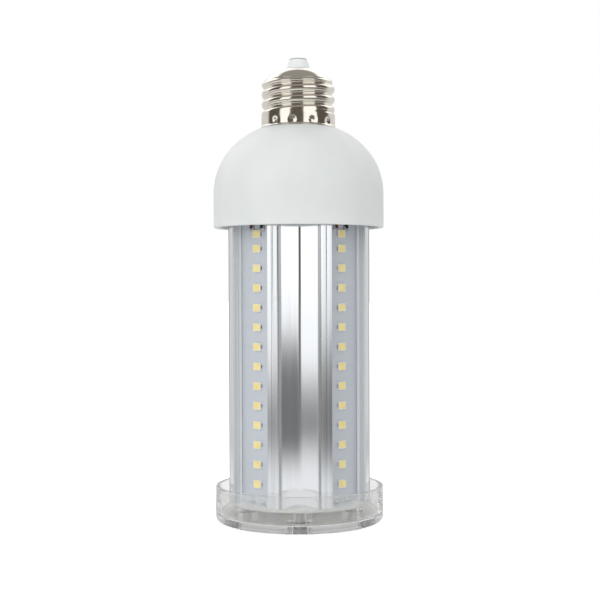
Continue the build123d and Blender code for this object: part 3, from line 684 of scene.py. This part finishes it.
def phosphorRings():  # up the cup's wall and over a soft edge to a flat middle
    rim, top, corner = led["frame"] + dot["gap"], led["thickness"] - dot["sink"], led["corner"]
    flatWidth, flatHeight = (dot["flat"] * (led[side] / 2 - rim) for side in ("width", "height"))
    return np.stack([
        inset(rim + led["cupTaper"], corner, led["thickness"] - led["cup"] + dot["gap"]),
        inset(rim, corner, top - dot["edgeHeight"]), inset(rim + dot["edge"], corner, top - dot["dome"]),
        roundedRing(flatWidth, flatHeight, dot["flatCorner"], top),
    ])


def padRings():
    # solder fillet against the package's end, rings from foot to top: at share s of its height it reaches
    # reach * (1 - thin * s^bend) out from the end, and its width is less by narrow * s
    rings = []
    for s in np.linspace(0, 1, 4):
        half = 0.5 * pad["reach"] * (1 - pad["thin"] * s ** pad["bend"])
        width = pad["width"] / 2 * (1 - pad["narrow"] * s)
        ring = roundedRing(half + pad["corner"], width, pad["corner"], pad["height"] * s, 3)
        rings.append(moved(ring, (half, 0, 0)))
    return np.stack(rings)


def stripPoint(index, points):  # across, up, out on a strip to the lamp's x, y, z
    angle = radians(45 + 90 * index)
    across, up, out = np.moveaxis(points, -1, 0)
    return np.stack([
        out * cos(angle) - across * sin(angle), out * sin(angle) + across * cos(angle), up
    ], axis=-1)


def onStrip(index, rings, heights, across=0.0):
    # local (x, y, z) of the ring is (across, up, out from the board's face)
    placed = np.repeat(rings[None], len(heights), axis=0)
    placed = placed + np.array([across, 0.0, boardFace])
    placed[..., 1] += np.asarray(heights)[:, None, None]
    return stripPoint(index, placed)


for index in range(4):
    number = index + 1
    packages, dots, pads = Shell(), Shell(), Shell()
    packages.rings(onStrip(index, packageRings(), ledHeights))
    packages.piece(f"led_bodies_{number}", ledWhite, "led_body", [f"led_packages_{number}"])
    dots.rings(onStrip(index, phosphorRings(), ledHeights))
    dots.piece(f"led_dots_{number}", phosphor, "phosphor", [f"led_phosphor_{number}"])
    for side in (-1, 1):
        fillet = padRings() * np.array([side, side, 1])
        pads.rings(onStrip(index, fillet, ledHeights, side * (led["width"] / 2 - pad["under"])))
    pads.piece(f"led_pads_{number}", brightSolder, "solder")
print("LED strips made,", 4 * led["count"], "packages")


# end board and its LEDs, which look down through the clear cap

endBoard = {"ports": 4, "portRadius": 19.2, "portSides": 40, "hole": 1.7, "outerCount": 8, "outerRing": 20.6,
            "innerCount": 6, "innerRing": 10.5, "edge": 0.1, "sides": 192}
boardLow, boardHigh = nodeBox("end_board")
ports = circle(endBoard["portRadius"], endBoard["ports"])  # where the cap's screws pass


def portHoles(radius):
    return [circle(radius, endBoard["portSides"], centre) for centre in ports]


disc = Shell()
edge, boardRadius, boardFoot, boardTop = endBoard["edge"], boardHigh[0], boardLow[2], boardHigh[2]
rimLoop = circle(boardRadius - edge, endBoard["sides"])
holeLoops = portHoles(endBoard["hole"])
disc.grid(revolve(np.array([
    [boardRadius - edge, boardFoot], [boardRadius, boardFoot + edge],
    [boardRadius, boardTop - edge], [boardRadius - edge, boardTop],
]), endBoard["sides"]))
disc.flat(rimLoop, holeLoops, boardFoot, False)
disc.flat(rimLoop, holeLoops, boardTop, True)
for loop in holeLoops:
    disc.grid(drawnUp(loop[::-1], [boardFoot, boardTop]))
disc.piece("end_board_disc", endBoardWhite, "board_white", ["end_board"])


def underBoard(rings):  # copies of a ring set on both LED circles, turned to face down
    placed = []
    for count, ring, start in ((endBoard["outerCount"], endBoard["outerRing"], 180 / endBoard["outerCount"]),
                               (endBoard["innerCount"], endBoard["innerRing"], 0.0)):
        turn = np.radians(start + np.arange(count) * 360 / count)[:, None, None]
        out, across, down = rings[None, ..., 1] + ring, -rings[None, ..., 0], boardFoot - rings[None, ..., 2]
        placed.append(np.stack(np.broadcast_arrays(
            out * np.cos(turn) + across * np.sin(turn), out * np.sin(turn) - across * np.cos(turn), down
        ), axis=-1))
    return np.concatenate(placed)[:, :, ::-1]


endPackages, endDots = Shell(), Shell()
endPackages.rings(underBoard(packageRings()))
endPackages.piece("end_led_bodies", ledWhite, "led_body", ["end_led_packages"])
endDots.rings(underBoard(phosphorRings()))
endDots.piece("end_led_dots", phosphor, "phosphor", ["end_led_phosphor"])
print("end board made")


# clear cap: wall and floor revolved, four counterbored bosses welded into the floor

cap = {"wall": 1.5, "floor": 2.5, "corner": 1.8, "rimCut": 0.45, "insideCorner": 1.0, "boss": 4.0,
       "bossCut": 0.15, "recess": 3.0, "recessDepth": 2.3, "hole": 1.7, "sides": 240}
capHigh = nodeBox("clear_cap")[1]
capRadius, capHeight = capHigh[0], capHigh[2]


def capWall():  # from the underside's rim round the foot, up the wall, over the rim and down to the floor
    inner, corner, fillet, r = capRadius - cap["wall"], cap["corner"], cap["insideCorner"], cap["rimCut"]
    return np.concatenate([
        arc((capRadius - corner, corner), corner, -90, 0, 14),
        arc((capRadius - r, capHeight - r), r, 0, 90, 7),
        arc((inner + r, capHeight - r), r, 90, 180, 7),
        arc((inner - fillet, cap["floor"] + fillet), fillet, 0, -90, 9),
    ])


clear = Shell()
wall = capWall()
clear.grid(revolve(wall, cap["sides"]))
under, over = (circle(wall[k, 0], cap["sides"]) for k in (0, -1))
clear.flat(under, portHoles(cap["recess"]), 0.0, False)
clear.flat(over, portHoles(cap["boss"]), cap["floor"], True)
bossLine = np.array([
    [cap["boss"], cap["floor"]], [cap["boss"], boardFoot - cap["bossCut"]],
    [cap["boss"] - cap["bossCut"], boardFoot], [cap["hole"], boardFoot], [cap["hole"], cap["recessDepth"]],
    [cap["recess"], cap["recessDepth"]], [cap["recess"], 0.0],
])
for centre in ports:
    clear.grid(moved(revolve(bossLine, endBoard["portSides"]), (*centre, 0.0)))
clearCap = clear.piece("clear_cap_cup", clearPlastic, "clear_plastic", ["clear_cap"], sharp=40.0)
clearCap.visible_shadow = False  # light passes through it
print("clear cap made")


# screws that hold the cap: pan heads with a cross recess, looking down

screw = {"head": 2.6, "shank": 1.4, "headTop": 2.3, "headHeight": 1.9, "dome": 0.45, "slot": (0.252, 0.42),
         "slotReach": (1.2, 1.5), "slotDepth": 0.9, "tipLength": 0.6, "tip": 0.2, "middle": 0.02, "sides": 64,
         "rings": 26}
screwHigh = nodeBox("cap_screws")[1][2]


def screwHead():
    # the head's underside over radius and angle: a low dome, and a cross of depth slotDepth whose arms' walls
    # slope between the two slot distances from the arm's middle and end between the two reaches
    turn = np.linspace(0, 2 * pi, screw["sides"], endpoint=False)[None, :]
    radius = np.linspace(screw["middle"], 1, screw["rings"])[:, None] * screw["head"]
    arm = np.minimum(np.abs(radius * np.cos(turn)), np.abs(radius * np.sin(turn)))
    cross = (1 - smooth(arm, *screw["slot"])) * (1 - smooth(radius, *screw["slotReach"]))
    face = screw["headTop"] - screw["headHeight"] + screw["dome"] * (radius / screw["head"]) ** 4
    return around(radius, turn, face + cross * screw["slotDepth"])


capScrews = Shell()
face = screwHead()
sideLine = np.array([
    [screw["head"], screw["headTop"] - screw["headHeight"] + screw["dome"]],
    [screw["head"], screw["headTop"]], [screw["shank"], screw["headTop"]],
    [screw["shank"], screwHigh - screw["tipLength"]], [screw["tip"], screwHigh], [0.0, screwHigh],
])
for centre in ports:
    capScrews.grid(moved(face, (*centre, 0.0)))
    capScrews.add(moved(face[0], (*centre, 0.0)), [list(range(screw["sides"]))[::-1]])
    capScrews.grid(moved(revolve(sideLine, screw["sides"]), (*centre, 0.0)))
capScrews.piece("cap_screw_set", screwSteel, "screw_steel", ["cap_screws"])
print("cap screws made")


# lead ends and solder at the top of each strip, solder at the foot

joint = {"offset": 2.6, "blob": (1.05, 1.3, 0.75), "footBlob": (1.1, 0.814, 0.8), "footUp": 0.825,
         "corner": 0.9}
lead = {"radius": 0.55, "gap": 0.15, "start": 0.5, "sides": 16, "rows": 40}
solderLow, solderHigh = nodeBox("strip_solder_top")
leadTop = nodeBox("led_leads_red")[1][2]


def blobRings(halfWidth, halfHeight, tall):  # half an egg: ring size falls as sqrt(1 - s^2) over height
    corner = joint["corner"] * min(halfWidth, halfHeight)
    levels = np.sin(np.radians(np.linspace(0, 84, 6)))
    shares = np.sqrt(1 - levels ** 2)
    return np.stack([
        roundedRing(halfWidth * share, halfHeight * share, corner * share, tall * s)
        for share, s in zip(shares, levels)
    ])


blobs, footBlobs = Shell(), Shell()
blobHeight, footHeight = (solderLow[2] + solderHigh[2]) / 2, columnLow[2] + joint["footUp"]
for index in range(4):
    for across in (-joint["offset"], joint["offset"]):
        blobs.rings(onStrip(index, blobRings(*joint["blob"]), [blobHeight], across))
        footBlobs.rings(onStrip(index, blobRings(*joint["footBlob"]), [footHeight], across))
blobs.piece("strip_solder_blobs", brightSolder, "solder", ["strip_solder_top"])
footBlobs.piece("strip_solder_feet", dullTin, "solder", ["strip_solder_foot"])

up = np.linspace(solderLow[2] + lead["start"], leadTop, lead["rows"])[:, None]
turn = np.linspace(0, 2 * pi, lead["sides"], endpoint=False)[None, :]
out = boardFace + lead["radius"] + lead["gap"] + lead["radius"] * np.sin(turn)
endLoop = list(range(lead["sides"]))
for colour, side, material in (("black", 1, leadBlack), ("red", -1, leadRed)):  # straight closed tubes
    tubes = Shell()
    across = side * joint["offset"] + lead["radius"] * np.cos(turn)
    grid = np.stack(np.broadcast_arrays(across, up, out), axis=-1)
    for index in range(4):
        tubes.grid(stripPoint(index, grid)[::-1])
        tubes.add(stripPoint(index, grid[0]), [endLoop])
        tubes.add(stripPoint(index, grid[-1]), [endLoop[::-1]])
    tubes.piece(f"led_lead_ends_{colour}", material, f"lead_{colour}", [f"led_leads_{colour}"])
print("leads and solder made")


# CAD nodes that keep their shape

kept = {
    "housing_plate": housingWhite, "plate_screws": screwSteel, "board_screws": screwSteel,
    "driver_board": driverGreen, "transformer_core": darkFerrite, "transformer_coil": coilTape,
    "bulk_capacitor": canBlack, "output_capacitor": canBlack, "film_capacitor": filmBox,
    "bridge_rectifier": chipBlack, "driver_chip": chipBlack, "line_choke": darkFerrite,
    "fuse_resistor": fuseBlue, "live_lead": leadBlack, "neutral_lead": leadWhite,
    **{f"led_board_{number}": boardWhite for number in range(1, 5)},
}
for node, material in kept.items():
    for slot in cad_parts[node].material_slots:
        slot.material = material
print("kept nodes painted,", len(kept))


# stage: floor, studio surround, soft lights and the camera

# floor in metres: how white it is to light, to the eye, through the cap and behind it, and what metal sees
# in it, a pale table near the lamp, then a dark gap that leans to one side, then pale again
table = {"size": 12.0, "drop": 0.0001, "white": 0.86, "seen": 1.7, "through": 1.4, "behind": 1.05,
         "capEdge": (0.029, 0.034), "near": (0.12, 0.3), "nearLean": 0.15, "far": (0.45, 1.5), "farLean": 0.5,
         "farSides": (0.25, 0.5), "gapDark": 0.23, "darkLean": 0.06, "nearWhite": 0.95, "farWhite": 1.15,
         "backFrom": (-0.05, 0.25)}
# surround: brightness of each part, and where it lies in degrees from the front and above the horizon
studio = {"ambient": 0.8, "inside": 0.95, "ceiling": 0.34, "ceilingFrom": (36.0, 46.0), "ceilingBack": 13.0,
          "front": 0.13, "frontTo": (28.0, 40.0), "sides": 0.11, "boxes": 1.3, "boxTop": (42.0, 55.0),
          "leftBox": (-62.0, -57.0, -28.0, -24.0), "rightBox": (14.0, 18.0, 56.0, 61.0), "backWall": 0.78,
          "backFrom": (100.0, 112.0), "backSky": 1.4, "skyFrom": (12.0, 30.0), "warm": (1.0, 0.88, 0.76, 1.0),
          "warmTo": (0.1, 0.5)}
lights = {  # degrees from the front and above the horizon, metres, metres, watts
    "leftBox": {"turn": -27.0, "lift": 14.0, "reach": 1.0, "size": 0.7, "power": 2.7},
    "rightTop": {"turn": 55.0, "lift": 72.0, "reach": 1.0, "size": 0.7, "power": 0.7},
}
aimHeight = 0.09
camera = {"distance": 0.45, "height": 0.0838, "across": 0.0004, "pitch": -0.647, "roll": -0.19, "turn": -0.6,
          "lens": 75.22, "sensor": 36.0}


def lightPath(tree, output):
    return Value.node(tree, "ShaderNodeLightPath", output=output)


def paintFloor(material):  # white; a dark gap beyond the table for reflections only
    tree = material.node_tree
    tree.nodes.clear()
    x, y = Value.node(tree, "ShaderNodeTexCoord", output="Object").parts()[:2]
    away = fromAxis(x, y)
    inside = lightPath(tree, "Transmission Depth").low(1.0)  # 1 for light that has been through the cap
    mirrored = lightPath(tree, "Glossy Depth").low(1.0)
    glossy = (lightPath(tree, "Is Glossy Ray") * (1 - inside)).high(mirrored)
    through = lightPath(tree, "Is Transmission Ray").high(inside)
    behind = fade(table["through"], table["behind"], away.rise(*table["capEdge"]))
    level = fade(table["white"], behind, through)
    level = fade(level, table["seen"], lightPath(tree, "Is Camera Ray"))
    colour = Value.node(tree, "ShaderNodeCombineXYZ", None, {0: level, 1: level, 2: level})
    white = Value.node(tree, "ShaderNodeBsdfDiffuse", None, {"Color": colour})
    side = x / away
    near = (away + table["nearLean"] * x).rise(*table["near"])
    far = (away - table["farLean"] * x).rise(*table["far"]) * side.size().rise(*table["farSides"])
    beyond = fade(table["gapDark"] - table["darkLean"] * side, table["farWhite"], far)
    strength = fade(table["nearWhite"], beyond, near)
    strength = fade(strength, studio["backWall"], y.rise(*table["backFrom"]))
    card = Value.node(tree, "ShaderNodeEmission", None, {"Strength": strength})
    mixed = Value.node(tree, "ShaderNodeMixShader", None, {0: glossy, 1: white, 2: card})
    Value.node(tree, "ShaderNodeOutputMaterial", None, {"Surface": mixed})


def paintWorld(world):  # white for the eye and through the cap; soft boxes and dark gaps for reflections
    tree = world.node_tree
    tree.nodes.clear()
    x, y, z = Value.node(tree, "ShaderNodeTexCoord", output="Generated").parts()
    turn = x.math("ARCTAN2", x, 0.0 - y) * (180 / pi)  # degrees from the front, plus to the right
    lift = z.math("ARCSINE", z) * (180 / pi)
    back = turn.size().rise(*studio["backFrom"])
    boxes = turn.band(*studio["leftBox"]).high(turn.band(*studio["rightBox"]))
    boxes = boxes * (1 - lift.rise(*studio["boxTop"]))
    wall = fade(studio["sides"], studio["front"], 1 - turn.size().rise(*studio["frontTo"]))
    wall = fade(wall, fade(studio["backWall"], studio["backSky"], lift.rise(*studio["skyFrom"])), back)
    wall = fade(wall, studio["boxes"], boxes)
    wall = fade(wall, studio["ceiling"], (lift - studio["ceilingBack"] * back).rise(*studio["ceilingFrom"]))
    inside = lightPath(tree, "Transmission Depth").low(1.0)
    white = lightPath(tree, "Is Camera Ray").high(lightPath(tree, "Is Transmission Ray"))
    white = white.high(inside * studio["inside"])
    level = fade(studio["ambient"], wall, lightPath(tree, "Is Glossy Ray"))
    level = fade(level, 1.0, white)
    shade = blend(tree, level.rise(*studio["warmTo"]), studio["warm"], (1.0, 1.0, 1.0, 1.0))
    sky = Value.node(tree, "ShaderNodeBackground", None, {"Color": shade, "Strength": level})
    Value.node(tree, "ShaderNodeOutputWorld", None, {"Surface": sky})


world = bpy.data.worlds.new("studio")
world.use_nodes = True
bpy.context.scene.world = world
paintWorld(world)

floorMesh = bpy.data.meshes.new("floor")
half, drop = table["size"] / 2, -table["drop"]  # just under the cap, so that the two faces don't coincide
floorMesh.from_pydata(
    [(-half, -half, drop), (half, -half, drop), (half, half, drop), (-half, half, drop)], [], [(0, 1, 2, 3)]
)
floorMaterial = bpy.data.materials.new("floorWhite")
floorMaterial.use_nodes = True
paintFloor(floorMaterial)
floorMesh.materials.append(floorMaterial)
floor = bpy.data.objects.new("floor", floorMesh)
bpy.context.collection.objects.link(floor)


def softLight(name, turn, lift, reach, size, power):  # square light aimed at the lamp's middle
    light = bpy.data.lights.new(name, "AREA")
    light.energy, light.size = power, size
    lamp = bpy.data.objects.new(name, light)
    bpy.context.collection.objects.link(lamp)
    a, e = radians(turn), radians(lift)
    lamp.matrix_world = (
        Matrix.Translation((reach * sin(a) * cos(e), -reach * cos(a) * cos(e), aimHeight + reach * sin(e)))
        @ Matrix.Rotation(a, 4, "Z") @ Matrix.Rotation(pi / 2 - e, 4, "X")
    )
    lamp.visible_glossy = False  # the surround is what reflects
    lamp.visible_camera = False


for name, light in lights.items():
    softLight(name, **light)

cameraData = bpy.data.cameras.new("camera")
cameraData.lens, cameraData.sensor_width = camera["lens"], camera["sensor"]
cameraObject = bpy.data.objects.new("camera", cameraData)
bpy.context.collection.objects.link(cameraObject)
cameraObject.matrix_world = (
    Matrix.Rotation(radians(camera["turn"]), 4, "Z")
    @ Matrix.Translation((camera["across"], -camera["distance"], camera["height"]))
    @ Matrix.Rotation(radians(90 + camera["pitch"]), 4, "X")
    @ Matrix.Rotation(radians(camera["roll"]), 4, "Z")
)
bpy.context.scene.camera = cameraObject
bpy.context.scene.view_settings.view_transform = "Standard"
print("stage set")
